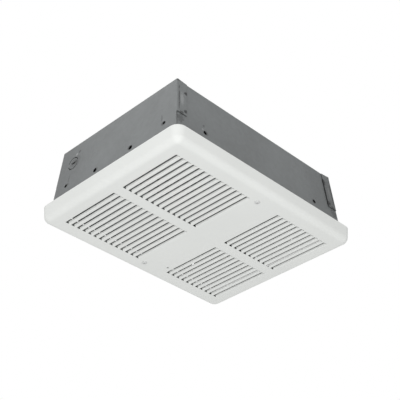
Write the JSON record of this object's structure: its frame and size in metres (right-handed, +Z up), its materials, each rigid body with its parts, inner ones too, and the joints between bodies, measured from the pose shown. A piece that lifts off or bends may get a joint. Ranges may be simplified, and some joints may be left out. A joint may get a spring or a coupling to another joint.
{
  "type": "ceiling mounted fan heater",
  "caption": "Recessed ceiling fan heater: white pressed louvred grille under a tapered sheet steel box that holds a blower, a motor, a tubular element and a reset limit.",
  "frame": {"origin": "centre of the ceiling plane, which is the plane of the grille's rear rim", "axes": "+Z up into the ceiling void, +X along the long side from the intake end to the outlet end, +Y along the short side, away from the wall that the picture shows on the right"},
  "size_m": [0.378, 0.299, 0.1328],
  "materials": {
    "galvanised_sheet": "mill galvanised, dull",
    "white_enamel": "white powder coat, satin",
    "bright_steel": "zinc plated",
    "foam": "closed cell foam",
    "laminations": "oiled electrical steel",
    "winding": "varnished copper winding",
    "element_sheath": "heat darkened steel sheath",
    "ceramic": "unglazed ceramic",
    "phenolic": "moulded phenolic",
    "red_plastic": "moulded",
    "green_steel": "green dyed zinc",
    "black_lead": "insulated lead",
    "white_lead": "insulated lead",
    "red_lead": "insulated lead"
  },
  "bodies": {
    "housing": {"back_box": "galvanised_sheet", "end_wall_intake": "galvanised_sheet", "end_wall_outlet": "galvanised_sheet", "grille": "white_enamel", "grille_screw_front": "white_enamel", "grille_screw_rear": "white_enamel", "grille_bracket_front": "galvanised_sheet", "grille_bracket_rear": "galvanised_sheet", "blower_deck": "galvanised_sheet", "scroll_wall": "galvanised_sheet", "divider": "galvanised_sheet", "divider_seal": "foam", "motor_core": "laminations", "motor_coil": "winding", "bearing_strap_lower": "bright_steel", "bearing_strap_upper": "bright_steel", "motor_hanger": "galvanised_sheet", "motor_screw_front": "bright_steel", "motor_screw_rear": "bright_steel", "heating_element": "element_sheath", "element_support_front": "galvanised_sheet", "element_support_rear": "galvanised_sheet", "element_terminal_near": "ceramic", "element_terminal_far": "ceramic", "air_deflector": "galvanised_sheet", "limit_bracket": "galvanised_sheet", "thermal_limit": "phenolic", "wiring_cover": "galvanised_sheet", "terminal_block": "phenolic", "motor_lead_live": "black_lead", "motor_lead_neutral": "white_lead", "limit_lead": "red_lead", "element_lead": "black_lead", "cover_screw": "bright_steel", "ground_screw": "green_steel", "deck_screw_1": "bright_steel", "support_screw_1": "bright_steel", "hanger_rivet_1": "bright_steel", "deck_screw_2": "bright_steel", "support_screw_2": "bright_steel", "hanger_rivet_2": "bright_steel", "deck_screw_3": "bright_steel", "support_screw_3": "bright_steel", "hanger_rivet_3": "bright_steel", "deck_screw_4": "bright_steel", "support_screw_4": "bright_steel", "hanger_rivet_4": "bright_steel", "divider_screw_1": "bright_steel", "divider_screw_2": "bright_steel"},
    "fan": {"blower_wheel": "bright_steel", "motor_shaft": "bright_steel", "motor_rotor": "laminations"},
    "button": {"reset_button": "red_plastic"}
  },
  "joints": [
    {"name": "fan_spin", "type": "hinge", "parent": "housing", "child": "fan", "pos_m": [-0.082, -0.028, 0.073], "axis": [0, 0, 1], "continuous": true},
    {"name": "reset_press", "type": "slide", "parent": "housing", "child": "button", "axis": [0, 0, 1], "range_m": [0, 0.0015], "stiffness_N_per_m": 400, "springref_m": -0.0005}
  ]
}
